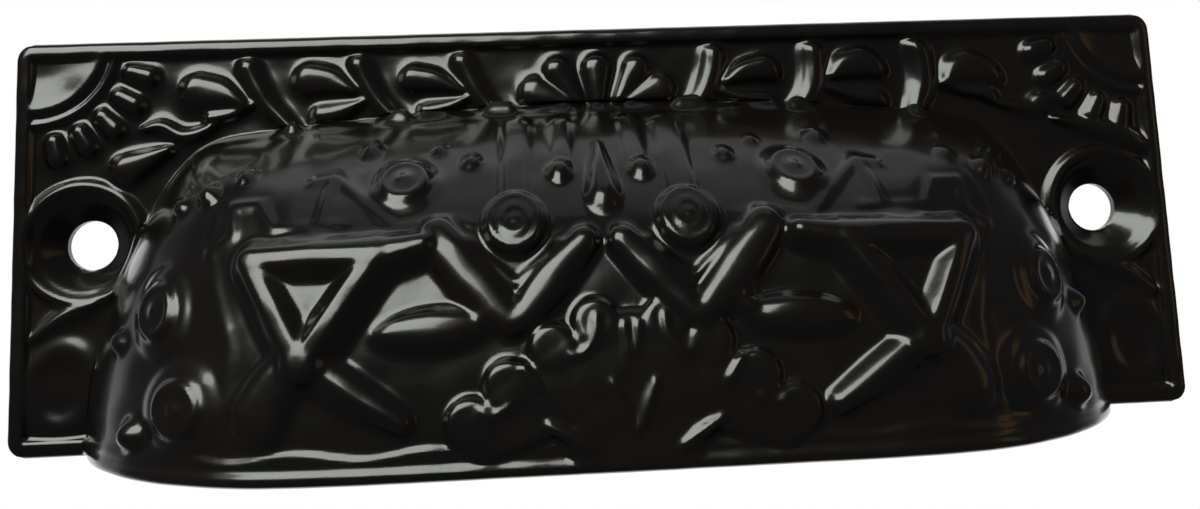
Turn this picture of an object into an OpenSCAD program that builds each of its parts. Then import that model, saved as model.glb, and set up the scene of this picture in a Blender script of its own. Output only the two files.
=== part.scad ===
// Cup pull for a drawer, cast in one piece: a flanged plate with a hood that is
// open behind and below, and raised ornament over the plate and the hood.
// X is to the right, the front faces -Y and Z is up. The back lies on Y = 0 and the
// origin is midway between the two screw holes. Places in the ornament are [x, z] in
// the front view, with z measured up from the lower edge, or down from the upper edge
// for the frieze. Every motif of the right half is mirrored to the left.

/* [Plate] */
// Width of the plate
plate_w = 104; // [102:0.5:108]
// Height of the plate
plate_h = 36; // [35.5:0.5:38]
// Thickness of the plate at its sunk field
field_t = 2.4; // [2.2:0.1:3]
// Radius of the plate's corners
corner_r = 1.5; // [1.2:0.1:2.5]
// Width of the raised border
rim_w = 1; // [0.7:0.1:1.2]
// Height of the border above the field
rim_t = 0.6; // [0.4:0.1:0.9]

/* [Screws] */
// Distance between the screw holes
screw_spacing = 92; // [91.5:0.5:93]
// Diameter of the screw holes
screw_d = 4.4; // [3.8:0.1:4.8]
// Diameter of the countersink at the front
sink_d = 9.4; // [9:0.1:9.6]
// Straight length of the screw holes behind the countersink
land = 0.6; // [0.4:0.1:1]
// Height of the collar round each countersink
collar_t = 0.6; // [0.4:0.1:0.8]
// Width of the collar round each countersink
collar_w = 0.8; // [0.7:0.1:0.9]

/* [Hood] */
// Depth of the hood, from the back to its front
hood_depth = 22; // [21:0.5:23.5]
// Wall of the hood
wall = 2.4; // [2:0.1:2.8]
// Radius of the front wall, seen from the side
front_r = 60; // [58:0.5:62]
// Tilt at which the front wall turns into the shoulder
front_tilt = 15; // [14.5:0.1:15.5]
// Radius of the shoulder
shoulder_r = 3.5; // [3.2:0.1:4]
// Tilt at which the shoulder turns into the slope
slope_tilt = 46; // [44:1:47]
// Radius of the slope above the shoulder
slope_r = 75; // [70:1:80]
// Half the distance between the turning axes of the two ends
end_x = 16; // [15.5:0.1:16.5]
// Distance of those axes behind the back
end_y = 8; // [7.5:0.1:8.5]
// How far the turned ends would stand before the front wall
end_lead = 0.5; // [0.4:0.1:0.7]
// Radius of the end walls, seen from the front
side_r = 47; // [46:0.5:49]
// Tilt at which an end wall turns into its upper corner
side_tilt = 28.5; // [27:0.5:29]
// Radius of the upper corners
top_r = 13.3; // [12.5:0.1:13.8]
// Height of the lip's band
lip_h = 2; // [1.6:0.1:2.4]
// How far the lip's band stands out
lip_t = 0.5; // [0.4:0.1:0.7]

/* [Ornament] */
// Rise of the plate's leaves above the field
leaf_rise = 0.8; // [0.5:0.1:1]
// Rise of the lobes and bosses above the hood
lobe_rise = 0.7; // [0.5:0.1:0.9]
// Rise of the straps and the long leaves above the hood
strap_rise = 0.9; // [0.6:0.1:1]
// Radius of the thin outlines
line_r = 0.35; // [0.3:0.05:0.45]
// Radius of the knobs that end a strap, as a multiple of the strap's
knob = 1.12; // [1.08:0.02:1.2]
// Distance between the sprigs of the frieze
sprig_pitch = 9.9; // [9.6:0.1:10]
// Radius of the fan in each upper corner
fan_r = 6.6; // [6:0.1:7]
// Number of ribs round each fan
fan_ribs = 5; // [4:1:6]

/* [Hidden] */
$fn = 64;
// Overshoot of cuts past the faces that they open
over = 1;
// Longer than any sight line through the part
far = 200;
low = -plate_h / 2;
half_w = plate_w / 2;
half_s = screw_spacing / 2;
enamel = [0.05, 0.05, 0.055];

// The hood's two outlines, as chains of tangent arcs [centre, radius, first tilt, last tilt]
function aim(t) = [cos(t), sin(t)];
function next_arc(a, r, t) = [a[0] + (a[1] - r) * aim(a[3]), r, a[3], t];
front_arc = [[hood_depth - front_r, 0], front_r, 0, front_tilt];
shoulder_arc = next_arc(front_arc, shoulder_r, slope_tilt);
slope_arc = next_arc(shoulder_arc, slope_r, 66);
end_radius = hood_depth + end_y + end_lead;
side_arc = [[end_radius - side_r, 0], side_r, 0, side_tilt];
top_arc = next_arc(side_arc, top_r, 90);
hood_top = top_arc[0][1] + top_r;

// Depth of the hood at a place in the front view: the lesser of its front and its ends
function reach(a, z) = a[0][0] + sqrt(max(0, pow(a[1], 2) - pow(z - a[0][1], 2)));
function arc_top(a) = a[0][1] + a[1] * sin(a[3]);
function front_depth(z) = z < arc_top(front_arc) ? reach(front_arc, z)
    : z < arc_top(shoulder_arc) ? reach(shoulder_arc, z) : reach(slope_arc, z);
function end_reach(z) = z < arc_top(side_arc) ? reach(side_arc, z) : reach(top_arc, z);
function end_depth(x, z) =
    sqrt(max(0, pow(end_reach(z), 2) - pow(max(0, x - end_x), 2))) - end_y;
function hood_depth_at(x, z) = min(front_depth(z), end_depth(x, z));

// Places on the hood and the plate, each with the direction that it faces
probe = 0.2;
function unit(v) = v / norm(v);
function on_hood(p) = [p[0], -hood_depth_at(p[0], p[1]), low + p[1]];
function hood_face(p) = unit([
    hood_depth_at(p[0] - probe, p[1]) - hood_depth_at(p[0] + probe, p[1]), -2 * probe,
    hood_depth_at(p[0], p[1] - probe) - hood_depth_at(p[0], p[1] + probe)]);
function on_plate(p) = [p[0], -field_t, low + p[1]];
function under_top(p) = [p[0], plate_h - p[1]];
forward = [0, -1, 0];

// The same places, sunk so that a round bar of radius r stands out by its rise
function in_hood(p, r, rise) = on_hood(p) + (rise - r) * hood_face(p);
function in_plate(p, r, rise) = on_plate(p) + (rise - r) * forward;

// The ornament's places, on the right half
hood_beads = [[3.4, 21.5, 1], [10.2, 23.6, 0.7], [13, 24.5, 0.6], [18.6, 24.7, 0.9],
    [28.5, 23, 0.7], [31.3, 21.2, 0.9], [34.5, 20.6, 0.7], [37.7, 9.9, 0.9], [35.4, 3.9, 1.2]];
bosses = [[6.8, 18.5, 2.3], [15.6, 21.7, 2], [33.8, 12.5, 2.2], [31.4, 5.9, 2.2]];
elbow_at = [7.3, 12.3];
cross_at = [21.8, 9.2];
cross_tops = [[25.6, 16.3], [17.8, 16.3]];
palmette_lobes = [[2.9, 10.1, 1.8], [6.2, 8.7, 1.7], [8.7, 6.4, 1.9], [11.4, 4.2, 2]];

// Points along an arc, grown outwards, the first point left to the arc before
function arc_points(a, grow, n) = [for (i = [1:n])
    a[0] + (a[1] + grow) * aim(a[2] + (a[3] - a[2]) * i / n)];

// Side view of the hood, turned so that depth runs to the right
module front_section(grow) {
    polygon(concat([[-over, -over], [hood_depth + grow, -over], [hood_depth + grow, 0]],
        arc_points(front_arc, grow, 6), arc_points(shoulder_arc, grow, 6),
        arc_points(slope_arc, grow, 6)));
}

// Half section of a turned end, from its axis outwards
module end_section(grow) {
    polygon(concat([[0, -over], [end_radius + grow, -over], [end_radius + grow, 0]],
        arc_points(side_arc, grow, 5), arc_points(top_arc, grow, 8), [[0, hood_top + grow]]));
}

module front_slab(grow, x0, x1) {
    translate([x1, 0, 0]) rotate([90, 0, -90]) linear_extrude(x1 - x0) front_section(grow);
}

// The hood as a solid, grown by a distance all round
module hood_body(grow) {
    translate([0, 0, low]) {
        front_slab(grow, -end_x, end_x);
        for (side = [0, 1]) {
            mirror([side, 0, 0]) intersection() {
                front_slab(grow, end_x, half_w);
                translate([end_x, end_y, 0]) rotate([0, 0, -90])
                    rotate_extrude(angle = 180, $fn = 180) end_section(grow);
            }
        }
    }
}

module plate_outline(inset) {
    r = corner_r - min(inset, corner_r / 2);
    w = half_w - inset;
    h = plate_h - 2 * inset;
    translate([-w + r, inset]) square([2 * (w - r), h]);
    translate([-w, inset + r]) square([2 * w, h - 2 * r]);
    for (x = [-1, 1], z = [inset + r, plate_h - inset - r]) {
        translate([x * (w - r), z]) circle(r);
    }
}

// Stands a front view, drawn from the lower edge, on the back plane
module to_front(depth) {
    translate([0, 0, low]) rotate([90, 0, 0]) linear_extrude(depth) children();
}

module both_sides() {
    for (side = [0, 1]) {
        mirror([side, 0, 0]) children();
    }
}

// Seats a shape at a place, with its Z along the way that the place faces
module seat(place, face) {
    translate(place) rotate([0, acos(face[2]), atan2(face[1], face[0])]) children();
}

// A round bar between two places, which may taper
module bar(from, to, r1, r2) {
    run = to - from;
    seat(from, unit(run)) cylinder(h = norm(run), r1 = r1, r2 = r2);
}

// A strap of half-sunk bars through a list of places, with a knob at each
module strap(places, r) {
    for (i = [0:len(places) - 1]) {
        translate(places[i]) sphere(knob * r);
        if (i > 0) bar(places[i - 1], places[i], r, r);
    }
}

// A shallow dome of a given outline radius
module dome(r, rise) {
    ball = (r * r + rise * rise) / (2 * rise);
    translate([0, 0, rise - ball]) sphere(ball);
}

// A half-sunk oval, its length turned from the X direction in the front view
module pillow(size, turn, rise) {
    rotate([0, 0, turn]) scale([size[1] / 2, size[0] / 2, rise]) sphere(1);
}

module hoop(r, tube) {
    rotate_extrude() translate([r, 0]) circle(tube);
}

module rim() {
    to_front(field_t + rim_t) difference() {
        plate_outline(0);
        plate_outline(rim_w);
    }
}

module lip_band() {
    intersection() {
        hood_body(lip_t);
        translate([-half_w, -far, low - over]) cube([plate_w, far, lip_h + over]);
    }
}

// The fan in an upper corner, with ribs round it
module corner_fan() {
    hub = [half_w - rim_w, plate_h - rim_w];
    rib_r = 1;
    seat(on_plate(hub), forward) rotate([0, 0, -90])
        rotate_extrude(angle = 90) translate([fan_r, 0]) circle(line_r);
    seat(on_plate(hub - 0.42 * [fan_r, fan_r]), forward)
        pillow([0.9 * fan_r, 0.7 * fan_r], -45, leaf_rise);
    for (i = [1:fan_ribs]) {
        way = aim(180 + 90 * (i - 0.3) / (fan_ribs + 0.4));
        strap([for (out = [1.8, 3.2]) in_plate(hub + (fan_r + out) * way, rib_r, leaf_rise)],
            rib_r);
    }
}

// A bud, a blade and a low leaf, the unit that repeats along the frieze
module sprig(x) {
    blade_r = 1.1;
    seat(on_plate(under_top([x - 1, 4.3])), forward) pillow([6, 3.5], -15, leaf_rise);
    strap([for (p = [[5.3, 3], [6.1, 5], [7.8, 8]])
        in_plate(under_top([x - p[0], p[1]]), blade_r, leaf_rise)], blade_r);
    seat(on_plate(under_top([x - 3.9, 7.4])), forward) pillow([5.6, 2.5], -3, leaf_rise);
}

module frieze() {
    for (i = [0:2]) {
        sprig(15.8 + sprig_pitch * i);
    }
    strap([for (p = [[41.2, 11.4], [37.8, 9.2]]) in_plate(under_top(p), 1.3, leaf_rise)], 1.3);
    seat(on_plate(under_top([5.8, 5.5])), forward) dome(1.9, leaf_rise);
    seat(on_plate(under_top([3.4, 3.7])), forward) dome(1.7, leaf_rise);
    seat(on_plate([half_w - 4.4, 5.9]), forward) hoop(2.6, line_r);
    strap([on_plate([half_w - 6.8, 12.6]), on_plate([half_w - 2.2, 10.4])], 0.7);
}

// A turned boss: a low step, a rim, a hollow and a button, as one section
module boss(p, r) {
    step = lobe_rise / 2;
    seat(on_hood(p), hood_face(p)) rotate_extrude() polygon([
        [0, -over], [1.35 * r, -over], [1.35 * r, step / 2], [1.1 * r, step], [r, lobe_rise],
        [0.8 * r, lobe_rise], [0.6 * r, step], [0.42 * r, step], [0.28 * r, lobe_rise],
        [0, lobe_rise + step / 2]]);
}

// Crossed bands under a top bar, chevrons, stems and a thin outline
module hood_straps() {
    chevron_r = 1.4;
    band_r = 1.3;
    toe_r = 2.1;
    cross = in_hood(cross_at, band_r, strap_rise);
    tops = [for (p = cross_tops) in_hood(p, band_r, strap_rise)];
    heel = in_hood([15, 4.4], band_r, strap_rise);
    toe = in_hood([24.9, 4.9], toe_r, strap_rise);
    strap([cross, tops[0], tops[1], cross], band_r);
    bar(tops[1], on_hood([14, 17]), band_r, 0.6);
    bar(cross, heel, band_r, band_r);
    translate(heel) sphere(knob * band_r);
    bar(cross, toe, band_r, toe_r);
    translate(toe) sphere(knob * toe_r);
    strap([for (p = [[11.7, 17], elbow_at, [1.4, 17.1]]) in_hood(p, chevron_r, strap_rise)],
        chevron_r);
    strap([for (p = [[14.6, 17.9], [18.2, 20.6], [21.2, 22.6], [22.8, 21.8]]) on_hood(p)], line_r);
    bar(on_hood([6.8, 21]), on_hood([6.7, 27.6]), 1.1, 1.3);
    bar(on_hood([3.4, 22]), on_hood([3.3, 27.8]), 0.7, 0.9);
}

module hood_leaves() {
    leaf_at = [12.6, 10.2];
    seat(on_hood(leaf_at), hood_face(leaf_at)) pillow([9.4, 4.2], -3, strap_rise);
    for (p = palmette_lobes) {
        seat(on_hood(p), hood_face(p)) dome(p[2], lobe_rise);
    }
    strap([for (p = [[5.7, 3.5], [3.2, 1 + lip_h / 2]]) on_hood(p)], 0.6);
}

// What stands on the middle line
module centre_motifs() {
    drop_r = 1.6;
    seat(on_plate(under_top([0, 3.3])), forward) dome(1.9, leaf_rise);
    translate(on_hood([0, 19.8])) sphere(drop_r);
    bar(on_hood([0, 20.4]), on_hood([0, 24.2]), 0.9 * drop_r, 0.3);
    seat(on_hood([0, 6.4]), hood_face([0, 6.4])) dome(4.6, lobe_rise);
    strap([on_hood([0, 8]), on_hood([0, 11])], 0.7);
}

module screw_cuts() {
    for (side = [-1, 1]) {
        translate([side * half_s, 0, 0]) rotate([90, 0, 0]) {
            translate([0, 0, -over]) cylinder(h = field_t + over, d = screw_d);
            translate([0, 0, land])
                cylinder(h = field_t + collar_t - land, d1 = screw_d, d2 = sink_d);
            translate([0, 0, field_t + collar_t]) cylinder(h = over, d = sink_d);
        }
    }
}

module cup_pull() {
    color(enamel) difference() {
        union() {
            to_front(field_t) plate_outline(0);
            rim();
            hood_body(0);
            lip_band();
            both_sides() {
                translate([half_s, 0, 0]) rotate([90, 0, 0])
                    cylinder(h = field_t + collar_t, r = sink_d / 2 + collar_w);
                corner_fan();
                frieze();
                for (b = hood_beads) {
                    translate(on_hood(b)) sphere(b[2]);
                }
                for (p = bosses) {
                    boss(p, p[2]);
                }
                hood_straps();
                hood_leaves();
            }
            centre_motifs();
        }
        hood_body(-wall);
        screw_cuts();
        translate([-far, 0, -far]) cube(2 * far);
        translate([-far, -far, low - far]) cube([2 * far, 2 * far, far]);
    }
}

cup_pull();
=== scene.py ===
"""Looks of the cup pull: a one-piece iron casting with relief ornament in black enamel.

Lengths are written in millimetres and become metres when a mesh is made. In the front view
x runs to the right and z up from the lower edge; depth is measured forwards from the back.
Each group of ornament is worked out on one half and mirrored about a middle line of its own,
which lies a little off the plate's, as it does on the casting.
"""

from __future__ import annotations

import logging
import math
from collections.abc import Callable
from dataclasses import dataclass
from enum import Enum

import bpy
import numpy as np
from mathutils import Matrix, Vector

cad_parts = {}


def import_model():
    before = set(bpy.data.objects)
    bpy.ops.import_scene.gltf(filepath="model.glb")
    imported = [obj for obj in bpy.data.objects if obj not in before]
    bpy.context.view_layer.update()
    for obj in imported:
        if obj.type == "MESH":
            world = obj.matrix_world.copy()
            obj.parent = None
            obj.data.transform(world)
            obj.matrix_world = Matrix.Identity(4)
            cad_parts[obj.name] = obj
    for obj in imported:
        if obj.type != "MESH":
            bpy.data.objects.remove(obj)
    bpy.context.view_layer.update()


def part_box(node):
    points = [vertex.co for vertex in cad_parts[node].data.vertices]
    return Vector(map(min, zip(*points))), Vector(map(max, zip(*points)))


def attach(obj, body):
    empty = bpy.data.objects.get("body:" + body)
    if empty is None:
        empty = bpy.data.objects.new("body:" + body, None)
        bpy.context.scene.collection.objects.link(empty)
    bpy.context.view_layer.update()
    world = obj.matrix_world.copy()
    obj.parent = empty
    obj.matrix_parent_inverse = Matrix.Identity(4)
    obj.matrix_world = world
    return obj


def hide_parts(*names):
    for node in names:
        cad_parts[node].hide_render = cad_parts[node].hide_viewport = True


LOG = logging.getLogger("cup_pull")
MM = 0.001
NODE = "cup_pull"
BODY = "root"
PHOTO_W, PHOTO_H = 1200, 509

Array = np.ndarray
Place = tuple[float, float]  # x and z
Span = tuple[float, float]  # low and high
Bend = tuple[float, float]  # radius, and tilt at the upper end
DepthOf = Callable[[Array, Array], Array]

BEVEL_FLAT = 0.25
FAR_PAST = 3.0
TINY = 1e-9


def smooth_max(a: Array, b: Array, fillet: float) -> Array:
    """Greater of two heights, with a quadratic fillet where they are close.

    Args:
        a: First height.
        b: Second height.
        fillet: Difference in height inside which the two are blended.

    Returns:
        max(a, b) + max(fillet - |a - b|, 0)^2 / (4 fillet).
    """
    return np.maximum(a, b) + np.maximum(fillet - np.abs(a - b), 0.0) ** 2 / (4.0 * fillet)


def smooth_min(a: Array, b: Array, fillet: float) -> Array:
    """Lesser of two heights with the same fillet: -smooth_max(-a, -b)."""
    return -smooth_max(-a, -b, fillet)


def smooth_step(x: Array, low: float, high: float) -> Array:
    """Cubic ramp from 0 at low to 1 at high: 3t^2 - 2t^3."""
    t = np.clip((x - low) / (high - low), 0.0, 1.0)
    return t * t * (3.0 - 2.0 * t)


def quarter_round(into: Array, radius: float) -> Array:
    """Drop at a rounded edge: radius - sqrt(radius^2 - max(radius - into, 0)^2)."""
    past = np.maximum(radius - into, 0.0)
    return radius - np.sqrt(np.maximum(radius**2 - past**2, 0.0))


def add_object(name: str, data: bpy.types.ID) -> bpy.types.Object:
    """Makes an object and links it to the scene.

    Args:
        name: Its name.
        data: Its mesh, lamp or camera.

    Returns:
        The object, at the origin.
    """
    made = bpy.data.objects.new(name, data)
    bpy.context.scene.collection.objects.link(made)
    return made


@dataclass(frozen=True)
class Arc:
    """One arc of an outline that rises from the lip, about a centre at a depth and a height.

    Its tilt is the angle of its normal above the horizon, which at the upper end is stop.
    """

    depth: float
    height: float
    radius: float
    stop: float

    def follow(self, radius: float, stop: float) -> "Arc":
        """Next arc, tangent to this one at its end.

        Args:
            radius: Radius of the next arc.
            stop: Tilt at its end, in degrees.

        Returns:
            The arc whose centre lies on this one's last normal.
        """
        tilt = math.radians(self.stop)
        gap = self.radius - radius
        depth, height = self.depth + gap * math.cos(tilt), self.height + gap * math.sin(tilt)
        return Arc(depth, height, radius, stop)

    def inset(self, wall: float) -> "Arc":
        """The parallel arc that lies a wall's thickness inside."""
        return Arc(self.depth, self.height, self.radius - wall, self.stop)

    def top(self) -> float:
        """Height at the arc's end."""
        return self.height + self.radius * math.sin(math.radians(self.stop))

    def reach(self, z: Array) -> Array:
        """Depth of the circle at a height: depth + sqrt(radius^2 - (z - height)^2).

        Args:
            z: Heights.

        Returns:
            Depths; past the top of the circle they fall steeply below its centre.
        """
        room = self.radius**2 - (z - self.height) ** 2
        return self.depth + np.where(room > 0.0, np.sqrt(np.maximum(room, 0.0)), room)


@dataclass(frozen=True)
class HoodForm:
    """The plain hood: a drawn front cut by two turned ends, blended where they meet.

    Its bends are the front, the shoulder and the slope from the lip upwards, and the side and
    the top of an end. An end turns about an axis at end_x from the middle line and end_y behind
    the back, and would reach end_lead past the front. The slope has sunk by arch at arch_x from
    the middle line, which sets in over the heights arch_z.
    """

    depth: float = 22.0
    shift: float = -0.5
    wall: float = 2.4
    front: Bend = (60.0, 15.0)
    shoulder: Bend = (3.5, 46.0)
    slope: Bend = (67.0, 75.0)
    end_side: Bend = (47.0, 28.5)
    end_top: Bend = (13.3, 90.0)
    end_x: float = 16.0
    end_y: float = 8.0
    end_lead: float = 0.5
    corner_blend: float = 2.4
    arch: float = 1.3
    arch_x: float = 27.0
    arch_z: Span = (14.0, 27.0)

    def front_arcs(self) -> list[Arc]:
        """Outline of the middle section.

        Returns:
            Front wall, shoulder and slope, from the lip upwards.
        """
        radius, tilt = self.front
        front = Arc(self.depth - radius, 0.0, radius, tilt)
        shoulder = front.follow(*self.shoulder)
        return [front, shoulder, shoulder.follow(*self.slope)]

    def end_arcs(self) -> list[Arc]:
        """Outline of a turned end, out from its axis.

        Returns:
            Side and top, from the lip upwards.
        """
        radius, tilt = self.end_side
        side = Arc(self.depth + self.end_y + self.end_lead - radius, 0.0, radius, tilt)
        return [side, side.follow(*self.end_top)]

    @staticmethod
    def along(arcs: list[Arc], z: Array, inset: float) -> Array:
        """Depth of a chain of arcs at each height.

        Args:
            arcs: Tangent arcs in rising order.
            z: Heights.
            inset: Distance inside the outline.

        Returns:
            Depth of the arc that each height falls in.
        """
        inner = [arc.inset(inset) for arc in arcs]
        tops = [z < arc.top() for arc in inner[:-1]]
        return np.select(tops, [arc.reach(z) for arc in inner[:-1]], inner[-1].reach(z))

    def depth_at(self, x: Array, z: Array, inset: float = 0.0) -> Array:
        """Depth of the hood's surface.

        Args:
            x: Positions along the plate.
            z: Heights above the lower edge.
            inset: Distance inside the outer surface.

        Returns:
            smooth_min of the front's depth and of sqrt(end_reach^2 - (|x| - end_x)^2) - end_y,
            with x taken from the hood's own middle. The slope is arched: it lies lower by
            arch * (x / arch_x)^2, which sets in over arch_z.
        """
        sunk = self.arch * ((x - self.shift) / self.arch_x) ** 2
        front = self.along(self.front_arcs(), z + sunk * smooth_step(z, *self.arch_z), inset)
        radius = self.along(self.end_arcs(), z, inset)
        out = np.maximum(np.abs(x - self.shift) - self.end_x, 0.0)
        room = np.where(radius > 0.0, radius**2, 0.0) - out**2
        ends = np.where(room > 0.0, np.sqrt(np.maximum(room, 0.0)), room) - self.end_y
        return smooth_min(front, ends, self.corner_blend)


@dataclass(frozen=True)
class PlateForm:
    """The plate: its outline, field and border.

    The border's crest stands rim_rise above the field, rim_crest from the edge. Its outer side
    drops by rim_roll towards the edge, and its inner side falls off over rim_fall.
    """

    width: float
    height: float
    field: float = 2.4
    corner: float = 1.5
    foot_fillet: float = 0.45
    rim_crest: float = 1.05
    rim_fall: float = 0.6
    rim_roll: float = 0.34
    rim_rise: float = 0.7
    edge_round: float = 0.22

    def half_width(self, z: Array) -> Array:
        """Half the width at each height: width / 2 less the drop at the rounded corners."""
        return self.width / 2.0 - quarter_round(np.minimum(z, self.height - z), self.corner)

    def edge_distance(self, x: Array, z: Array) -> Array:
        """Distance inwards from the outline.

        Args:
            x: Positions along the plate.
            z: Heights above the lower edge.

        Returns:
            Signed distance to the rounded rectangle, positive inside.
        """
        qx = np.abs(x) - (self.width / 2.0 - self.corner)
        qz = np.abs(z - self.height / 2.0) - (self.height / 2.0 - self.corner)
        outside = np.hypot(np.maximum(qx, 0.0), np.maximum(qz, 0.0))
        return self.corner - outside - np.minimum(np.maximum(qx, qz), 0.0)


class Profile(Enum):
    """Cross-section of a carving: the power n in 1 - s^n, or straight bevels for 0."""

    BEVEL = 0.0
    ROUND = 2.0
    FULL = 3.0
    FLAT = 6.0
    STEP = 14.0

    def rise(self, s: Array) -> Array:
        """Height across a carving.

        Args:
            s: Distance from its middle over its half width.

        Returns:
            1 in the middle and 0 at the edge, falling on as far as FAR_PAST. A bevel is flat
            out to BEVEL_FLAT and straight from there.
        """
        s = np.minimum(s, FAR_PAST)
        if self is Profile.BEVEL:
            return np.minimum((1.0 - s) / (1.0 - BEVEL_FLAT), 1.0)
        return 1.0 - s**self.value


def flow(points: Array, steps: int = 5) -> Array:
    """Smooth curve through the rows of an array.

    It is a cubic spline whose slope at each place is half the step between its neighbours.

    Args:
        points: One row for each place, with any number of values.
        steps: Parts that each span is cut into.

    Returns:
        Rows along the curve, from the first place to the last.
    """
    ends = np.concatenate([2 * points[:1] - points[1:2], points, 2 * points[-1:] - points[-2:-1]])
    p0, p1, p2, p3 = (ends[i : len(ends) - 3 + i, None] for i in range(4))
    t = (np.arange(steps) / steps)[None, :, None]
    curve = p1 + 0.5 * t * (
        p2 - p0 + t * (2 * p0 - 5 * p1 + 4 * p2 - p3 + t * (3 * (p1 - p2) + p3 - p0))
    )
    return np.concatenate([curve.reshape(-1, points.shape[1]), points[-1:]])


@dataclass(frozen=True)
class Strap:
    """A raised band through a few places, with a half width for each or one for all."""

    places: tuple[Place, ...]
    halves: tuple[float, ...]
    height: float
    profile: Profile = Profile.ROUND
    curved: bool = True

    def course(self) -> Array:
        """Course of the band.

        Returns:
            Rows of place and half width, on a smooth curve if it is curved.
        """
        halves = self.halves if len(self.halves) > 1 else self.halves * len(self.places)
        rows = np.column_stack([np.array(self.places), np.array(halves)])
        return flow(rows) if self.curved and len(rows) > 2 else rows

    def rise(self, x: Array, z: Array) -> Array:
        """Height of the band above the ground.

        Args:
            x: Positions from the pattern's middle line.
            z: Heights above the lower edge.

        Returns:
            height * profile(s), with s the least distance to a piece over its half width there.
        """
        rows = self.course()
        if len(rows) == 1:
            rows = np.repeat(rows, 2, axis=0)
        least = np.full_like(x, np.inf)
        for (ax, az, r0), (bx, bz, r1) in zip(rows, rows[1:]):
            dx, dz = bx - ax, bz - az
            run = max(dx * dx + dz * dz, TINY)
            t = np.clip(((x - ax) * dx + (z - az) * dz) / run, 0.0, 1.0)
            away = np.hypot(x - ax - t * dx, z - az - t * dz)
            least = np.minimum(least, away / (r0 + (r1 - r0) * t))
        return self.height * self.profile.rise(least)


@dataclass(frozen=True)
class Oval:
    """A raised oval, turned in the front view by an angle in degrees."""

    centre: Place
    halves: Place
    turn: float
    height: float
    profile: Profile = Profile.FULL

    def rise(self, x: Array, z: Array) -> Array:
        """Height of the oval above the ground.

        Args:
            x: Positions from the middle line.
            z: Heights above the lower edge.

        Returns:
            height * profile(s), with s the elliptic radius.
        """
        c, s = math.cos(math.radians(self.turn)), math.sin(math.radians(self.turn))
        dx, dz = x - self.centre[0], z - self.centre[1]
        along, across = c * dx + s * dz, c * dz - s * dx
        return self.height * self.profile.rise(
            np.hypot(along / self.halves[0], across / self.halves[1])
        )


@dataclass(frozen=True)
class Ring:
    """A raised ring; squeeze is its height over its width in the front view."""

    centre: Place
    radius: float
    half: float
    height: float
    squeeze: float = 1.0

    def rise(self, x: Array, z: Array) -> Array:
        """Height of the ring: a round ridge on the circle of its radius."""
        away = np.hypot(x - self.centre[0], (z - self.centre[1]) / self.squeeze)
        return self.height * Profile.ROUND.rise(np.abs(away - self.radius) / self.half)


@dataclass(frozen=True)
class Scoop:
    """A hollow that rises outwards to a crest, at its radius, and falls off past it."""

    centre: Place
    radius: float
    height: float
    fall: float = 0.45

    def rise(self, x: Array, z: Array) -> Array:
        """Height: height * (r / radius)^2 up to the crest, then a round fall.

        Args:
            x: Positions from the middle line.
            z: Heights above the lower edge.

        Returns:
            Heights, below zero past the fall.
        """
        away = np.hypot(x - self.centre[0], z - self.centre[1])
        past = np.maximum(away - self.radius, 0.0) / self.fall
        dish = np.minimum(away / self.radius, 1.0) ** 2
        return self.height * (dish + Profile.ROUND.rise(past) - 1.0)


Carving = Strap | Oval | Ring | Scoop


def bead(x: float, z: float, radius: float, height: float = 0.8) -> Strap:
    """A single round bead.

    Args:
        x: Distance from the middle line.
        z: Height above the lower edge.
        radius: Radius of its foot.
        height: Rise over its radius.

    Returns:
        A strap of one place.
    """
    return Strap(((x, z),), (radius,), height * radius)


def line(*places: Place, half: float = 0.5, height: float = 0.2) -> Strap:
    """A thin raised outline, straight between the places given.

    Args:
        places: Places that it runs through.
        half: Half its width.
        height: Height above the ground.

    Returns:
        A strap of even width.
    """
    return Strap(places, (half,), height, curved=False)


def boss(x: float, z: float, step: float, disc: float, squeeze: float = 1.0) -> list[Carving]:
    """A turned boss: a low step, a disc with a soft rim and a button.

    Args:
        x: Distance from the middle line.
        z: Height above the lower edge.
        step: Radius of the step.
        disc: Radius of the disc on it.
        squeeze: Height over width in the front view.

    Returns:
        The carvings of the boss, widest first.
    """
    at, ring, button = (x, z), disc * 0.72, disc * 0.36
    step_rise, disc_rise, top_rise, ring_half = 0.4, 0.8, 0.98, 0.4
    return [
        Oval(at, (step, step * squeeze), 0.0, step_rise, Profile.FLAT),
        Oval(at, (disc, disc * squeeze), 0.0, disc_rise, Profile.FLAT),
        Ring(at, ring, ring_half, top_rise, squeeze),
        Oval(at, (button, button * squeeze), 0.0, top_rise),
    ]


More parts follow.
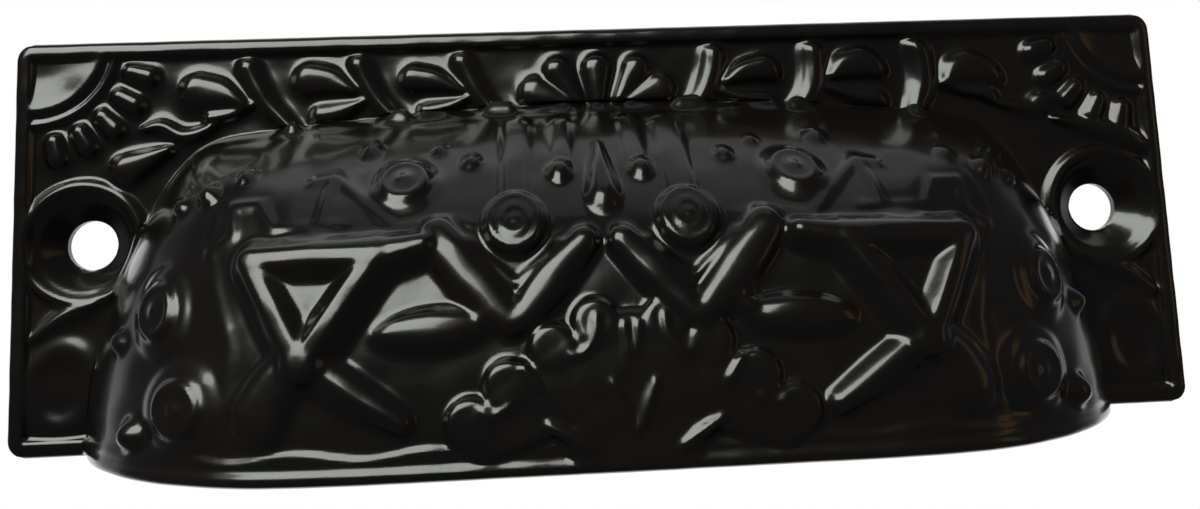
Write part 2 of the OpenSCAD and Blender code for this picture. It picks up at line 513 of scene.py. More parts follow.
@dataclass(frozen=True)
class Ornament:
    """The relief: carvings of the right half, each group mirrored about its own middle line.

    The shifts are the places of those lines. The right-hand sprigs stand more upright: they are
    spread outwards by the share upright for each millimetre below upright_z. A softened copy of
    the frieze, times swell, fills the ground between its leaves, and beside the hood the plate
    rises by up to ground, over the heights ground_z. The corners' carving sets in over rim_clear
    from the edge. A step of the lip has a line, a rise and a sway, the height of its waves.
    """

    plate: PlateForm
    hood_shift: float = -1.1
    crest_shift: float = -0.4
    rosette_shift: float = -1.4
    band_shift: float = -0.65
    end_shift: float = -0.8
    palmette_shift: float = 0.2
    upright: float = 0.0186
    upright_z: float = 33.5
    fillet: float = 0.26
    swell: float = 0.7
    swell_passes: int = 16
    ground: float = 0.4
    ground_passes: int = 140
    ground_z: Span = (23.0, 27.0)
    rim_clear: Span = (0.4, 1.4)
    lip_steps: tuple[tuple[float, float, float], ...] = ((0.95, 0.28, 0.0), (2.1, 0.25, 0.25))
    lip_crest: float = 22.0
    lip_pitch: float = 9.4
    lip_soft: float = 0.22
    lip_fade: float = 0.6
    lip_fade_x: Span = (33.0, 42.0)

    def sprig(self, x: float, z: float, head: float, low: float, foot: float) -> list[Carving]:
        """One unit of the frieze: a bud, a blade and a low leaf that meet in a stalk.

        Args:
            x: Place of the bud's head.
            z: Height of the bud's head.
            head: Radius of the bud's head.
            low: Half the width of the low leaf.
            foot: Height at which the blade ends.

        Returns:
            The unit's carvings.
        """
        return [
            Strap(
                ((x, z), (x - 2.0, z - 0.3), (x - 4.0, z - 1.2)), (head, 0.8 * head, 0.45),
                1.05, Profile.FULL,
            ),
            Strap(
                (
                    (x - 4.3, 33.2), (x - 4.9, 31.8), (x - 5.9, 30.0), (x - 7.1, 28.7),
                    (x - 8.5, foot),
                ),
                (1.35, 1.25, 1.15, 1.0, 0.8), 0.95,
            ),
            Strap(((x - 1.0, 28.8), (x - 2.8, 29.1), (x - 4.8, 29.9)), (low, 0.9 * low, 0.4), 0.9),
        ]

    def frieze(self) -> list[Carving]:
        """Sprigs along the plate's top, with the smaller leaves at each end.

        Returns:
            Three sprigs and two leaves.
        """
        made = self.sprig(15.8, 31.8, 1.55, 1.1, 28.4) + self.sprig(25.1, 32.0, 1.85, 1.3, 27.8)
        made += self.sprig(34.9, 31.2, 2.0, 0.8, 27.2)
        made += [
            Strap(((41.1, 24.4), (39.6, 25.1), (37.4, 26.1)), (1.75, 1.25, 0.5), 1.0, Profile.FULL),
            Strap(
                ((39.7, 28.0), (38.2, 28.2), (36.4, 27.3), (34.6, 27.6), (33.2, 28.4)),
                (0.4, 0.85, 0.9, 0.8, 0.4), 0.8,
            ),
        ]
        return made

    def crest(self) -> list[Carving]:
        """Shell of lobes over the hood's middle.

        Returns:
            Its middle lobe and the two beside it.
        """
        return [
            Strap(((0.0, 32.2), (0.0, 29.3)), (1.7, 1.0), 1.05, Profile.FULL),
            Strap(((3.6, 32.1), (1.9, 29.4)), (1.6, 0.8), 1.0, Profile.FULL),
            Strap(((5.6, 30.2), (3.0, 29.2)), (1.85, 0.9), 1.0, Profile.FULL),
        ]

    def corner(self) -> list[Carving]:
        """Fan in an upper corner, its ribs, and the leaf and dished oval below the screw.

        Returns:
            Scoop, ring and ribs of the fan, then the leaf and the oval.
        """
        hub = (self.plate.width / 2.0 - 1.6, self.plate.height - 0.2)
        made: list[Carving] = [Scoop(hub, 6.0, 0.75), Ring(hub, 7.1, 0.5, 0.6)]
        ribs, first_rib, rib_turn, rib_reach = 5, 197.5, 15.1, (8.9, 10.4)
        for i in range(ribs):
            angle = math.radians(first_rib + rib_turn * i)
            way = (math.cos(angle), math.sin(angle))
            places = tuple((hub[0] + r * way[0], hub[1] + r * way[1]) for r in rib_reach)
            made.append(Strap(places, (1.0, 1.15), 0.9, Profile.FULL))
        made += [
            Strap(((44.9, 12.8), (47.4, 11.9), (50.0, 10.0)), (0.5, 0.95, 0.4), 0.75),
            Ring((47.6, 5.7), 2.6, 1.0, 0.4, 1.3),
        ]
        return made

    def crown(self) -> list[Carving]:
        """Stems, drop, beads, thin outlines and upper bosses on the hood's slope.

        Returns:
            The slope's carvings, with the boss last.
        """
        made: list[Carving] = [
            Strap(((3.0, 22.4), (3.0, 26.4)), (1.0, 1.2), 0.4, Profile.FULL),
            Strap(((0.0, 19.5), (0.0, 21.0), (0.0, 24.0)), (1.55, 1.25, 0.35), 1.1),
            bead(10.2, 22.8, 0.85, 0.7),
            bead(12.9, 24.2, 0.65, 0.7),
            bead(3.2, 21.6, 1.15),
            bead(18.6, 24.5, 1.0, 0.6),
            line(
                (10.0, 17.6), (11.2, 18.0), (15.4, 17.4), (19.0, 20.6), (20.8, 22.0), (22.4, 21.6)
            ),
            line(
                (19.4, 17.9), (24.6, 17.8), (26.1, 19.8), (28.3, 19.8), (27.7, 17.4), (29.6, 16.2)
            ),
            line((21.0, 22.0), (21.0, 18.2), half=0.45),
            line((29.3, 20.0), (29.9, 17.4), (28.6, 13.4), (27.0, 9.3), (27.4, 3.3), height=0.1),
        ]
        return made + boss(15.2, 20.9, 2.9, 2.3, 0.85)

    def rosettes(self) -> list[Carving]:
        """Ringed rosettes with their stems, and a thin V and the broad chevron below each.

        Returns:
            Stem, V, rosette and the chevron's two arms.
        """
        at = (6.4, 17.4)
        return [
            Strap(((6.4, 19.6), (6.4, 26.2)), (1.3, 1.6), 0.45, Profile.FULL),
            line((9.8, 16.4), (6.4, 13.0), (3.2, 16.0), half=0.4, height=0.42),
            Oval(at, (2.55, 2.5), 0.0, 0.85, Profile.FLAT),
            Ring(at, 1.85, 0.38, 1.0),
            Ring(at, 0.95, 0.38, 1.0),
            Oval(at, (0.45, 0.45), 0.0, 1.1),
            Strap(
                ((12.0, 16.6), (10.2, 14.3), (8.3, 12.0), (6.8, 10.4)), (1.7, 1.8, 1.7, 1.2),
                1.0, Profile.FULL,
            ),
            Strap(
                ((1.4, 15.9), (3.0, 14.2), (4.7, 12.3), (6.1, 10.6)), (1.3, 1.6, 1.6, 1.2),
                1.0, Profile.FULL,
            ),
            bead(8.3, 11.0, 0.8, 0.9),
        ]

    def bands(self) -> list[Carving]:
        """Crossed bands round a sunk triangle, with two legs, and the long leaf beside them.

        Returns:
            Floor of the triangle, bands, legs, crossing and leaf.
        """
        outer, inner, crossing = (25.9, 15.2), (17.0, 15.3), (21.9, 8.1)
        foot, rise = 2.0, 1.5
        return [
            Strap(((22.0, 13.6), (22.0, 11.0)), (4.2, 2.6), 0.55, Profile.FLAT),
            Strap((outer, crossing), (foot,), rise, Profile.BEVEL),
            Strap((inner, crossing), (foot,), rise, Profile.BEVEL),
            Strap((outer, inner, (13.6, 15.9)), (foot, foot, 1.4), rise, Profile.BEVEL, False),
            Strap(((22.2, 8.6), (23.9, 6.8), (25.0, 4.8)), (1.5, 2.0, 2.4), 0.9, Profile.FULL),
            Strap(((20.8, 7.7), (19.9, 6.9), (17.9, 5.6), (15.2, 4.0)), (1.5, 1.6, 1.5, 1.1), 0.95),
            Oval((21.9, 8.0), (1.7, 1.5), 0.0, rise, Profile.FLAT),
            Oval((13.0, 10.1), (4.5, 1.75), -4.0, 1.0),
            Strap(((9.6, 10.8), (8.2, 11.5)), (0.95, 0.9), 0.8),
        ]

    def ends(self) -> list[Carving]:
        """Bosses and beads on the hood's two ends.

        Returns:
            Beads, then the two bosses.
        """
        made: list[Carving] = [
            bead(28.4, 22.3, 0.8, 0.7),
            bead(31.0, 20.9, 1.05, 0.75),
            bead(33.8, 20.2, 0.85, 0.7),
            bead(38.3, 9.8, 1.1, 0.75),
            bead(35.7, 3.2, 1.4, 0.8),
        ]
        return made + boss(33.7, 12.0, 2.9, 1.95, 1.25) + boss(31.1, 5.2, 3.5, 2.4)

    def palmette(self) -> list[Carving]:
        """Flat scalloped leaf over the middle of the lip, with raised veins and tongues.

        Returns:
            Body and lobes, then what is raised on them.
        """
        body, lobe = 0.6, 0.65
        made: list[Carving] = [
            Strap(((0.0, 6.5), (0.0, 3.0)), (4.6, 5.2), body, Profile.STEP),
            Strap(((2.0, 8.0), (6.5, 5.0), (10.2, 3.0)), (2.4, 2.6, 2.0), body, Profile.STEP),
        ]
        for x, z, r in ((2.5, 10.2, 1.75), (5.6, 8.6, 1.75), (8.7, 6.2, 1.8), (11.3, 3.7, 1.9)):
            made.append(Oval((x, z), (r, r), 0.0, lobe, Profile.STEP))
        made += [
            line((0.25, 7.9), (0.5, 10.0), half=0.36, height=0.85),
            Strap(((0.0, 2.4), (0.7, 4.0), (1.5, 6.0)), (0.3, 0.6, 0.5), 0.9),
            Strap(((2.4, 10.5), (2.6, 9.0), (3.4, 8.1), (4.3, 7.9)), (0.42,), 0.9),
            Strap(((6.6, 5.8), (7.6, 7.4)), (0.45,), 0.9),
            Strap(((8.6, 4.7), (9.8, 4.2), (10.6, 4.5)), (0.42,), 0.9),
            Strap(((3.1, 1.6), (4.6, 2.6), (6.1, 3.4)), (0.45, 0.75, 0.4), 1.0),
        ]
        return made

    def lip(self, x: Array, z: Array) -> Array:
        """Two steps out towards the lower edge, the upper one gently waved.

        Args:
            x: Positions from the pattern's middle line.
            z: Heights above the lower edge.

        Returns:
            The sum of each step's rise below its line, fading towards the hood's ends.
        """
        wave = np.cos((np.abs(x) - self.lip_crest) * 2.0 * math.pi / self.lip_pitch)
        total = np.zeros_like(x)
        for line_z, rise, sway in self.lip_steps:
            past = z - (line_z + sway * wave)
            total += rise * (1.0 - smooth_step(past, -self.lip_soft, self.lip_soft))
        return total * (1.0 - self.lip_fade * smooth_step(np.abs(x), *self.lip_fade_x))

    def layer(self, x: Array, z: Array, carvings: list[Carving], ground: Array) -> Array:
        """Lays carvings over a ground.

        Args:
            x: Distances from the carvings' middle line.
            z: Heights above the lower edge.
            carvings: What is laid.
            ground: Height so far.

        Returns:
            smooth_max of the ground and every carving.
        """
        for carving in carvings:
            ground = smooth_max(ground, carving.rise(x, z), self.fillet)
        return ground

    @staticmethod
    def soften(relief: Array, passes: int = 1) -> Array:
        """Rounds every crease by averaging each point with its neighbours as 1, 2, 1.

        Args:
            relief: Heights on the grid.
            passes: How often it is done, along both directions.

        Returns:
            The softened heights.
        """
        for _ in range(passes):
            for axis in (0, 1):
                pad = [(1, 1) if axis == i else (0, 0) for i in (0, 1)]
                wide = np.pad(relief, pad, mode="edge")
                ahead = np.take(wide, range(2, wide.shape[axis]), axis)
                back = np.take(wide, range(wide.shape[axis] - 2), axis)
                relief = 0.5 * relief + 0.25 * (ahead + back)
        return relief

    def height(self, x: Array, z: Array, hooded: Array) -> Array:
        """Height of the relief above the plain casting.

        Args:
            x: Positions along the plate.
            z: Heights above the lower edge.
            hooded: 1 on the hood and 0 on the plate.

        Returns:
            The softened layers, with the lip on the hood alone and a plate that rises softly
            towards the hood.
        """
        inside = smooth_step(self.plate.edge_distance(x, z), *self.rim_clear)
        relief = self.layer(np.abs(x), z, self.corner(), np.zeros_like(x)) * inside
        leant = np.where(x > self.hood_shift, 1.0 - self.upright * (self.upright_z - z), 1.0)
        relief = self.layer(np.abs(x - self.hood_shift) * leant, z, self.frieze(), relief)
        relief = self.layer(np.abs(x - self.crest_shift), z, self.crest(), relief)
        swelled = self.swell * self.soften(relief, self.swell_passes)
        relief = smooth_max(relief, swelled, self.fillet) * (1.0 - hooded)
        motifs = (
            (self.hood_shift, self.crown()),
            (self.rosette_shift, self.rosettes()),
            (self.band_shift, self.bands()),
            (self.end_shift, self.ends()),
            (self.palmette_shift, self.palmette()),
        )
        for shift, carvings in motifs:
            relief = self.layer(np.abs(x - shift), z, carvings, relief)
        relief = self.soften(relief)
        banded = smooth_max(relief, self.lip(x - self.hood_shift, z), self.fillet / 2.0)
        beside = self.soften(hooded, self.ground_passes)
        rising = relief + self.ground * beside * smooth_step(z, *self.ground_z)
        return rising + (banded - rising) * hooded


@dataclass(frozen=True)
class ScrewSeat:
    """A countersunk screw hole with its collar; bore, sink and collar are radii."""

    spacing: float = 92.0
    bore: float = 2.2
    sink: float = 4.7
    collar: float = 5.1
    collar_half: float = 0.75
    collar_rise: float = 0.55
    collar_fillet: float = 0.3
    land: float = 0.6
    sink_fillet: float = 0.35

    def apart(self, x: Array, z: Array, middle: float) -> Array:
        """Distance from the nearer hole's axis."""
        return np.hypot(np.abs(x) - self.spacing / 2.0, z - middle)

    def carve(self, relief: Array, away: Array, field: float) -> Array:
        """Adds the collar and sinks the cone.

        Args:
            relief: Height above the field.
            away: Distance from the axis.
            field: Thickness of the field.

        Returns:
            The lesser of the collared relief and the cone, which runs straight from the land
            at the bore to the collar's height at the sink.
        """
        ridge = Profile.ROUND.rise(np.abs(away - self.collar) / self.collar_half)
        collared = smooth_max(relief, self.collar_rise * ridge, self.collar_fillet)
        cone = self.land - field + np.maximum(away - self.bore, 0.0) * (
            (field + self.collar_rise - self.land) / (self.sink - self.bore)
        )
        return smooth_min(collared, cone, self.sink_fillet)


@dataclass(frozen=True)
class Casting:
    """The whole pull as one closed mesh: carved front, plain hollow back, edges and bores.

    The back has one step for every back_every of the front's. Even steps are measured on finer
    traces, with depth weighted by steepness. The plate turns into the hood between the heights
    hood_rise above the field. A ripple wave is its rate along x, its rate along z and its phase.
    An edge past crease_angle degrees is crisp where it is near the outline, the back or a bore.
    """

    plate: PlateForm
    hood: HoodForm
    ornament: Ornament
    screws: ScrewSeat
    columns: int = 521
    rows: int = 169
    back_every: int = 4
    trace_rows: int = 4001
    trace_columns: int = 6001
    steepness: float = 0.6
    probe: float = 0.02
    hood_rise: Span = (0.6, 2.2)
    lip_round: float = 0.5
    ripple_rise: float = 0.012
    ripple_waves: tuple[tuple[float, float, float], ...] = (
        (0.9, 1.3, 0.4), (1.7, -0.8, 2.1), (0.6, -2.1, 4.0),
    )
    bore_sides: int = 64
    bore_reach: float = 4.0
    crease_angle: float = 40.0
    near: float = 0.02
    bore_near: float = 0.05

    def front_depth(self, x: Array, z: Array) -> Array:
        """Depth of the plain front: the hood and the field with a filleted foot."""
        hood = self.hood.depth_at(x, z)
        return smooth_max(hood, np.full_like(hood, self.plate.field), self.plate.foot_fillet)

    def back_depth(self, x: Array, z: Array) -> Array:
        """Depth of the back: the hollow where it is deeper than the flat flange."""
        return np.maximum(self.hood.depth_at(x, z, self.hood.wall), 0.0)

    def slopes(self, x: Array, z: Array) -> tuple[Array, Array]:
        """Slopes of the plain front by central differences.

        Args:
            x: Positions along the plate.
            z: Heights above the lower edge.

        Returns:
            dD/dx and dD/dz, where D is the plain depth.
        """
        d = self.probe
        along = self.front_depth(x + d, z) - self.front_depth(x - d, z)
        upward = self.front_depth(x, z + d) - self.front_depth(x, z - d)
        return along / (2 * d), upward / (2 * d)

    def heights(self, count: int) -> Array:
        """Rows at even steps along the middle section.

        Args:
            count: Number of rows.

        Returns:
            Heights at equal parts of the sum of hypot(dz, steepness * d depth) at x = 0.
        """
        z = np.linspace(0.0, self.plate.height, self.trace_rows)
        depth = self.front_depth(np.zeros_like(z), z)
        run = np.hypot(np.diff(z), self.steepness * np.diff(depth)).cumsum()
        return np.interp(np.linspace(0.0, run[-1], count), np.append(0.0, run), z)

    def grid(self, depth_of: DepthOf, z: Array, count: int) -> tuple[Array, Array, Array]:
        """Columns at even steps along each row's section.

        Args:
            depth_of: Depth as a function of x and z.
            z: Height of each row.
            count: Number of columns.

        Returns:
            Arrays x, z and depth, with one row for each height.
        """
        across = np.linspace(-1.0, 1.0, self.trace_columns)
        x = across[None, :] * self.plate.half_width(z)[:, None]
        level = np.broadcast_to(z[:, None], x.shape)
        depth = depth_of(x, level)
        run = np.hypot(np.diff(x, axis=1), self.steepness * np.diff(depth, axis=1)).cumsum(axis=1)
        run = np.pad(run / run[:, -1:], ((0, 0), (1, 0)))
        even = np.linspace(0.0, 1.0, count)
        spread = np.stack([np.interp(even, r, row) for r, row in zip(run, x)])
        level = np.broadcast_to(z[:, None], spread.shape)
        return spread, level, depth_of(spread, level)

    def front(self, z: Array) -> Array:
        """Carved front surface.

        The relief is raised along the plain surface's normal, (-dD/dx, -1, -dD/dz) scaled to
        length 1, where D is the plain depth.

        Args:
            z: Height of each row.

        Returns:
            Points, rows by columns by three.
        """
        x, level, depth = self.grid(self.front_depth, z, self.columns)
        slope_x, slope_z = self.slopes(x, level)
        scale = np.sqrt(1.0 + slope_x**2 + slope_z**2)
        low, high = self.hood_rise
        hooded = smooth_step(depth, self.plate.field + low, self.plate.field + high)
        relief = self.ornament.height(x, level, hooded)
        relief = self.edge(relief, x, level, hooded)
        away = self.screws.apart(x, level, self.plate.height / 2.0)
        sunk = self.screws.carve(relief, away, self.plate.field)
        relief = sunk + (relief - sunk) * hooded
        relief = (relief + self.ripple(x, level)) / scale
        return np.stack(
            [x - relief * slope_x, -depth - relief, np.maximum(level - relief * slope_z, 0.0)],
            axis=-1,
        )

    def edge(self, relief: Array, x: Array, z: Array, hooded: Array) -> Array:
        """Border of the plate and rounding of all outer edges.

        Args:
            relief: Height of the ornament.
            x: Positions along the plate.
            z: Heights above the lower edge.
            hooded: 1 on the hood and 0 on the plate.

        Returns:
            The relief with a rim on the plate, whose outer side is a broad roll and whose
            inner side is steep, and with rounded edges.
        """
        inward = self.plate.edge_distance(x, z)
        past = inward - self.plate.rim_crest
        rim = np.where(
            past > 0.0,
            self.plate.rim_rise * Profile.FULL.rise(np.abs(past) / self.plate.rim_fall),
            self.plate.rim_rise - self.plate.rim_roll * (past / self.plate.rim_crest) ** 2,
        )
        rimmed = smooth_max(relief, rim, self.ornament.fillet)
        rolled = rimmed - quarter_round(inward, self.plate.edge_round)
        lipped = relief - quarter_round(z, self.lip_round)
        return rolled + (lipped - rolled) * hooded

    def ripple(self, x: Array, z: Array) -> Array:
        """Slight unevenness of the sand casting: the sum of a few crossed sine waves."""
        return self.ripple_rise * sum(np.sin(a * x + b * z + c) for a, b, c in self.ripple_waves)

    def back(self, z: Array) -> Array:
        """Plain back surface: flat flange and smooth hollow.

        Args:
            z: Height of each row.

        Returns:
            Points, rows by columns by three.
        """
        count = (self.columns - 1) // self.back_every + 1
        x, level, depth = self.grid(self.back_depth, z, count)
        return np.stack([x, -depth, level], axis=-1)

    @staticmethod
    def quads(index: Array, flip: bool) -> Array:
        """Faces of a grid of vertex numbers.

        Args:
            index: Vertex numbers, rows by columns.
            flip: True to turn the faces round.

        Returns:
            Four vertex numbers for each face.
        """
        loop = (index[:-1, :-1], index[:-1, 1:], index[1:, 1:], index[1:, :-1])
        faces = np.stack(loop[::-1] if flip else loop, axis=-1)
        return faces.reshape(-1, 4)

    @staticmethod
    def strip(fine: Array, coarse: Array, every: int) -> Array:
        """Faces between a fine edge and a coarse one.

        Args:
            fine: Vertex numbers along the fine edge.
            coarse: Vertex numbers along the coarse edge, one for each step of the fine edge.
            every: Fine steps in a coarse one.

        Returns:
            Faces of every + 3 vertex numbers.
        """
        start = np.arange(len(coarse) - 1) * every
        run = fine[start[:, None] + np.arange(every + 1)]
        return np.concatenate([run, coarse[1:, None], coarse[:-1, None]], axis=1)

    def mesh(self) -> bpy.types.Mesh:
        """Closed mesh of the casting, without its bores.

        Returns:
            A mesh in metres, its lower edge half a plate's height below the origin.
        """
        z = self.heights(self.rows)
        front, back = self.front(z), self.back(z[:: self.back_every])
        points = np.concatenate([front.reshape(-1, 3), back.reshape(-1, 3)])
        points[:, 2] -= self.plate.height / 2.0
        ahead = np.arange(front[..., 0].size).reshape(front.shape[:2])
        behind = np.arange(back[..., 0].size).reshape(back.shape[:2]) + ahead.size
        n = self.back_every
        faces = self.quads(ahead, False).tolist() + self.quads(behind, True).tolist()
        faces += self.strip(ahead[0][::-1], behind[0][::-1], n).tolist()
        faces += self.strip(ahead[-1], behind[-1], n).tolist()
        faces += self.strip(ahead[:, 0], behind[:, 0], n).tolist()
        faces += self.strip(ahead[::-1, -1], behind[::-1, -1], n).tolist()
        mesh = bpy.data.meshes.new("casting")
        mesh.from_pydata((points * MM).tolist(), [], faces)
        mesh.update()
        return mesh

    def bore_tool(self) -> bpy.types.Object:
        """Two long cylinders that cut the screw holes.

        Returns:
            An object to be removed after the cut.
        """
        turn = np.linspace(0.0, 2.0 * math.pi, self.bore_sides + 1)[:-1]
        ring = np.stack([np.cos(turn), np.zeros_like(turn), np.sin(turn)], axis=-1)
        ring = ring * self.screws.bore
        reach = self.plate.field * self.bore_reach
        points, faces = [], []
        for side in (-1.0, 1.0):
            base = len(points) * len(turn)
            for y in (-reach, reach):
                points.append(ring + (side * self.screws.spacing / 2.0, y, 0.0))
            low = base + np.arange(len(turn))
            high = low + len(turn)
            around = np.stack([low, np.roll(low, -1), np.roll(high, -1), high], axis=-1)
            faces += around[:, ::-1].tolist() + [low.tolist(), high[::-1].tolist()]
        mesh = bpy.data.meshes.new("bore_tool")
        mesh.from_pydata((np.concatenate(points) * MM).tolist(), [], faces)
        return add_object("bore_tool", mesh)

    def build(self) -> bpy.types.Object:
        """Makes the casting, cuts its screw holes and shades it.

        Returns:
            The finished object, at the origin.
        """
        casting = add_object("cup_pull_casting", self.mesh())
        tool = self.bore_tool()
        cut = casting.modifiers.new("bores", "BOOLEAN")
        cut.operation, cut.object, cut.solver = "DIFFERENCE", tool, "MANIFOLD"
        bpy.context.view_layer.update()
        graph = bpy.context.evaluated_depsgraph_get()
        finished = bpy.data.meshes.new_from_object(casting.evaluated_get(graph))
        casting.modifiers.clear()
        casting.data = finished
        bpy.data.objects.remove(tool)
        finished.shade_smooth()
        self.crease(finished)
        return casting

    def crease(self, mesh: bpy.types.Mesh) -> None:
        """Keeps the outline, the bores and the mouth of the hollow crisp, and all else smooth.

        Args:
            mesh: The finished mesh, in metres.
        """
        mesh.set_sharp_from_angle(angle=math.radians(self.crease_angle))
        points = np.empty(len(mesh.vertices) * 3)
        mesh.vertices.foreach_get("co", points)
        x, y, z = points.reshape(-1, 3).T / MM
        z = z + self.plate.height / 2.0
        away = self.screws.apart(x, z, self.plate.height / 2.0)
        crisp = self.plate.edge_distance(x, z) < self.near
        crisp |= away < self.screws.bore + self.bore_near
        crisp |= y > -self.near
        ends = np.empty(len(mesh.edges) * 2, dtype=np.int32)
        mesh.edges.foreach_get("vertices", ends)
        sharp = np.empty(len(mesh.edges), dtype=bool)
        mesh.edges.foreach_get("use_edge_sharp", sharp)
        mesh.edges.foreach_set("use_edge_sharp", sharp & crisp[ends].reshape(-1, 2).all(axis=1))
        mesh.update()

    @staticmethod
    def dress(casting: bpy.types.Object, finish: BlackEnamel) -> None:
        """Gives the casting its finish, hides the part it replaces and hangs it on the root body.

        Args:
            casting: The finished object.
            finish: Its enamel.
        """
        casting.data.materials.clear()
        casting.data.materials.append(finish.material())
        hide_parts(NODE)
        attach(casting, BODY)


def linear(hex_colour: str) -> tuple[float, float, float, float]:
    """Turns an sRGB hex colour into linear light.

    Args:
        hex_colour: Six hex digits after a number sign.

    Returns:
        Red, green, blue and an alpha of 1.
    """
    parts = [int(hex_colour[i : i + 2], 16) / 255.0 for i in (1, 3, 5)]
    red, green, blue = (
        c / 12.92 if c <= 0.04045 else ((c + 0.055) / 1.055) ** 2.4 for c in parts
    )
    return red, green, blue, 1.0


def add_node(tree: bpy.types.NodeTree, kind: str, settings: dict | None = None,
             inputs: dict | None = None) -> bpy.types.Node:
    """Adds a node.

    Args:
        tree: Node tree that it goes into.
        kind: Node type.
        settings: Properties to set on it.
        inputs: Socket names or numbers, each with a value or with an output socket to link.

    Returns:
        The node.
    """
    node = tree.nodes.new(kind)
    for name, value in (settings or {}).items():
        setattr(node, name, value)
    for name, value in (inputs or {}).items():
        if isinstance(value, bpy.types.NodeSocket):
            tree.links.new(value, node.inputs[name])
        else:
            node.inputs[name].default_value = value
    return node


@dataclass(frozen=True)
class BlackEnamel:
    """Stoved black enamel on rough cast iron.

    It was dipped or brushed on and baked, so it is glossy and deep black, a little browner and
    duller in patches where age has dimmed it, and has the faint orange peel of thick paint over
    a sandy casting. Real grit is finer; it is drawn as coarse as it needs to show.
    """

    black: str = "#0a0a0b"
    worn: str = "#17130f"
    gloss: float = 0.18
    gloss_spread: float = 0.08
    patch_range: Span = (0.3, 0.7)
    coat: float = 0.5
    coat_gloss: float = 0.1
    ior: float = 1.5
    patch_mm: float = 100.0 / 9.0
    peel_mm: float = 1.1
    peel_rise_mm: float = 0.06
    peel_strength: float = 0.25
    grit_mm: float = 0.35
    grit_rise_mm: float = 0.02
    grit_strength: float = 0.15

    def material(self) -> bpy.types.Material:
        """Builds the enamel.

        Returns:
            A material on Object coordinates, its patterns sized in millimetres.
        """
        made = bpy.data.materials.new("stoved_black_enamel")
        made.use_nodes = True
        tree = made.node_tree
        tree.nodes.clear()
        place = add_node(tree, "ShaderNodeTexCoord").outputs["Object"]
        patches, peel, grit = (
            add_node(
                tree, "ShaderNodeTexNoise",
                inputs={"Vector": place, "Scale": 1.0 / (size * MM), "Detail": detail},
            ).outputs["Fac"]
            for size, detail in ((self.patch_mm, 4.0), (self.peel_mm, 2.0), (self.grit_mm, 3.0))
        )
        colour = add_node(
            tree, "ShaderNodeMix", {"data_type": "RGBA"},
            {"Factor": patches, "A": linear(self.black), "B": linear(self.worn)},
        )
        rough = add_node(
            tree, "ShaderNodeMapRange", inputs={
                "Value": patches,
                "From Min": self.patch_range[0], "From Max": self.patch_range[1],
                "To Min": self.gloss, "To Max": self.gloss + self.gloss_spread,
            },
        )
        waves = add_node(
            tree, "ShaderNodeBump", inputs={
                "Height": peel, "Strength": self.peel_strength,
                "Distance": self.peel_rise_mm * MM,
            },
        )
        sandy = add_node(
            tree, "ShaderNodeBump", inputs={
                "Height": grit, "Strength": self.grit_strength,
                "Distance": self.grit_rise_mm * MM, "Normal": waves.outputs["Normal"],
            },
        )
        shader = add_node(
            tree, "ShaderNodeBsdfPrincipled", inputs={
                "Base Color": colour.outputs["Result"], "Roughness": rough.outputs["Result"],
                "Normal": sandy.outputs["Normal"], "IOR": self.ior,
                "Coat Weight": self.coat, "Coat Roughness": self.coat_gloss,
            },
        )
        add_node(tree, "ShaderNodeOutputMaterial", inputs={"Surface": shader.outputs["BSDF"]})
        return made


@dataclass(frozen=True)
class SoftBox:
    """A rectangular lamp that faces the pull, with angles in degrees and lengths in metres."""

    name: str
    azimuth: float
    elevation: float
    away: float
    width: float
    height: float
    radiance: float
    colour: str

    def build(self, target: Vector) -> None:
        """Places the lamp; its power is radiance * area * pi.

        Args:
            target: Point that it faces.
        """
        a, e = math.radians(self.azimuth), math.radians(self.elevation)
        way = Vector((math.sin(a) * math.cos(e), -math.cos(a) * math.cos(e), math.sin(e)))
        lamp = bpy.data.lights.new(self.name, "AREA")
        lamp.shape = "RECTANGLE"
        lamp.size, lamp.size_y = self.width, self.height
        lamp.energy = self.radiance * self.width * self.height * math.pi
        lamp.color = linear(self.colour)[:3]
        stand = add_object(self.name, lamp)
        stand.location = target + way * self.away
        stand.rotation_euler = (-way).to_track_quat("-Z", "Y").to_euler()


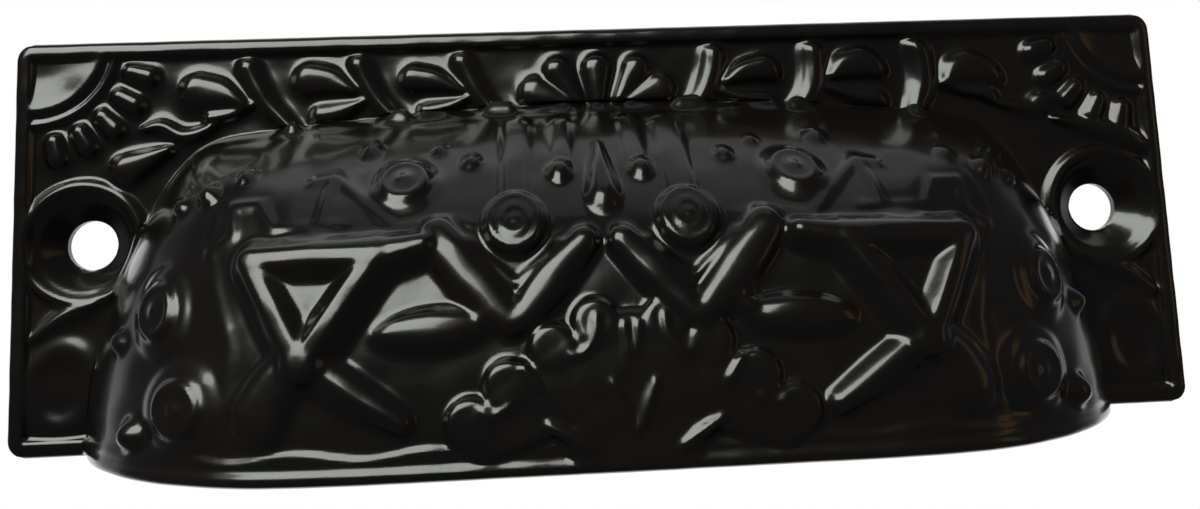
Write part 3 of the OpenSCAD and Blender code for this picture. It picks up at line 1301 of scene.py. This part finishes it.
@dataclass(frozen=True)
class Studio:
    """Pale floor, white surround and soft lamps, with lengths in metres."""

    floor_drop: float = 0.2
    floor_half: float = 0.3
    pale: str = "#f2f2f0"
    white: str = "#ffffff"
    room: str = "#3a3a3c"
    behind: Span = (0.3, 0.8)
    boxes: tuple[SoftBox, ...] = (
        SoftBox("window", -31.0, 39.5, 0.7, 0.6, 0.44, 5.6, "#fbfff8"),
        SoftBox("ceiling", -10.0, 100.0, 0.8, 0.7, 0.5, 0.2, "#f6f4f6"),
        SoftBox("fill", 62.0, 10.0, 0.9, 0.16, 0.5, 0.5, "#d8a870"),
    )

    def surround(self) -> None:
        """White behind the pull, also in its reflections, and a dim room in front of it."""
        world = bpy.data.worlds.new("studio")
        world.use_nodes = True
        tree = world.node_tree
        tree.nodes.clear()
        path = add_node(tree, "ShaderNodeLightPath")
        dim, white = (
            add_node(
                tree, "ShaderNodeBackground", inputs={"Color": linear(colour), "Strength": 1.0}
            ).outputs["Background"]
            for colour in (self.room, self.white)
        )
        way = add_node(tree, "ShaderNodeTexCoord").outputs["Generated"]
        parts = add_node(tree, "ShaderNodeSeparateXYZ", inputs={"Vector": way})
        behind = add_node(
            tree, "ShaderNodeMapRange", {"interpolation_type": "SMOOTHSTEP"}, {
                "Value": parts.outputs["Y"],
                "From Min": self.behind[0], "From Max": self.behind[1],
            },
        )
        mirrored = add_node(
            tree, "ShaderNodeMath", {"operation": "MULTIPLY"},
            {0: behind.outputs["Result"], 1: path.outputs["Is Glossy Ray"]},
        )
        shown = add_node(
            tree, "ShaderNodeMath", {"operation": "MAXIMUM"},
            {0: mirrored.outputs["Value"], 1: path.outputs["Is Camera Ray"]},
        )
        both = add_node(
            tree, "ShaderNodeMixShader", inputs={0: shown.outputs["Value"], 1: dim, 2: white}
        )
        add_node(tree, "ShaderNodeOutputWorld", inputs={"Surface": both.outputs["Shader"]})
        bpy.context.scene.world = world

    def floor(self, low: float) -> None:
        """Pale floor some way below, because the pull hangs on a drawer.

        Args:
            low: Height of the pull's lower edge.
        """
        half, z = self.floor_half, low - self.floor_drop
        corners = [(-half, -half, z), (half, -half, z), (half, half, z), (-half, half, z)]
        mesh = bpy.data.meshes.new("floor")
        mesh.from_pydata(corners, [], [(0, 1, 2, 3)])
        floor = add_object("floor", mesh)
        paint = bpy.data.materials.new("pale_floor")
        paint.use_nodes = True
        shader = paint.node_tree.nodes["Principled BSDF"]
        shader.inputs["Base Color"].default_value = linear(self.pale)
        mesh.materials.append(paint)
        floor.visible_glossy = False

    def build(self, low: float) -> None:
        """Makes the surround, the floor and the lamps.

        Args:
            low: Height of the pull's lower edge.
        """
        self.surround()
        self.floor(low)
        for box in self.boxes:
            box.build(Vector((0.0, 0.0, 0.0)))


@dataclass(frozen=True)
class PhotoCamera:
    """Camera at the photograph's place, fitted to the plate's corners and screw holes.

    Its place is in millimetres. It is turned from a view straight along Y, about an axis as long
    as the angle in radians. Focal length and middle are in pixels of the photograph.
    """

    place: tuple[float, float, float] = (-5.509, -90.362, -4.550)
    turn: tuple[float, float, float] = (-0.113, -0.0517, -0.0384)
    focal_px: float = 976.75
    middle_px: tuple[float, float] = (596.6, 166.04)
    sensor: float = 36.0
    clip_near: float = 0.005

    def build(self) -> None:
        """Makes the camera and hands it to the scene."""
        axis = Vector(self.turn)
        tilt = Matrix.Rotation(axis.length, 3, axis)
        right, down, ahead = tilt @ Matrix(((1, 0, 0), (0, 0, -1), (0, 1, 0)))
        lens = bpy.data.cameras.new("photo_camera")
        lens.sensor_width = self.sensor
        lens.lens = self.focal_px / PHOTO_W * self.sensor
        lens.shift_x = (PHOTO_W / 2.0 - self.middle_px[0]) / PHOTO_W
        lens.shift_y = (self.middle_px[1] - PHOTO_H / 2.0) / PHOTO_W
        lens.clip_start = self.clip_near
        camera = add_object("photo_camera", lens)
        axes = Matrix((right, -down, -ahead)).transposed().to_4x4()
        camera.matrix_world = Matrix.Translation(Vector(self.place) * MM) @ axes
        bpy.context.scene.camera = camera


def main() -> None:
    """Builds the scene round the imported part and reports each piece."""
    logging.basicConfig(level=logging.INFO, format="%(name)s: %(message)s")
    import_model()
    low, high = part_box(NODE)
    plate = PlateForm((high[0] - low[0]) / MM, (high[2] - low[2]) / MM)
    form = Casting(plate, HoodForm(), Ornament(plate), ScrewSeat())
    casting = form.build()
    form.dress(casting, BlackEnamel())
    casting.data.calc_loop_triangles()
    LOG.info("%s: %d triangles", casting.name, len(casting.data.loop_triangles))
    PhotoCamera().build()
    Studio().build(low[2])
    bpy.context.scene.view_settings.view_transform = "Standard"


if __name__ == "__main__":
    main()
